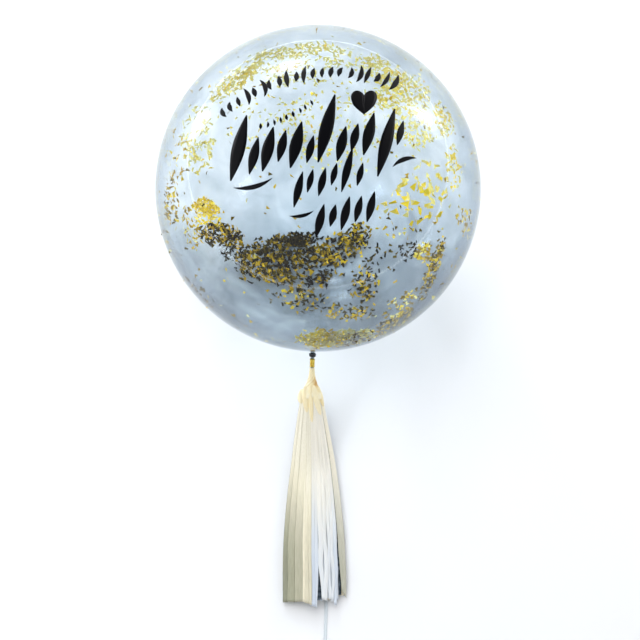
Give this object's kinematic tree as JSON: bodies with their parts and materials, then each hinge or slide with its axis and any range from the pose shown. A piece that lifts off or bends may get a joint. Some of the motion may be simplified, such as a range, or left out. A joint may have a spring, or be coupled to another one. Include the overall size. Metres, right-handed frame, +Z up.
{
  "type": "confetti balloon",
  "caption": "Clear bubble balloon with loose metallic confetti inside, a paper tassel and a flat ribbon, lying on the floor.",
  "frame": {"origin": "middle of the small flat spot that the ball rests on", "axes": "+Z up, the neck points along -Y and down, the tassel and the ribbon lie along -Y"},
  "size_m": [0.5996, 1.1972, 0.5977],
  "materials": {
    "clear_film": "clear glossy stretched film",
    "black_elastic": "matt elastic",
    "gold_foil": "crinkled bright foil",
    "champagne_paper": "satin tissue paper",
    "silver_foil_paper": "metallised paper",
    "ivory_tissue": "matt tissue paper",
    "white_tissue": "matt tissue paper",
    "beige_paper": "satin tissue paper",
    "clear_ribbon": "glossy plastic ribbon"
  },
  "bodies": {
    "root": {"balloon_envelope": "clear_film", "neck_tie": "black_elastic", "gold_band": "gold_foil", "tassel_stem": "champagne_paper", "fringe_silver_sheet": "silver_foil_paper", "fringe_ivory_sheet": "ivory_tissue", "fringe_champagne_sheet": "champagne_paper", "fringe_white_sheet": "white_tissue", "fringe_beige_sheet": "beige_paper", "ribbon": "clear_ribbon", "ribbon_coil": "clear_ribbon", "coil_tie": "white_tissue"}
  },
  "joints": []
}
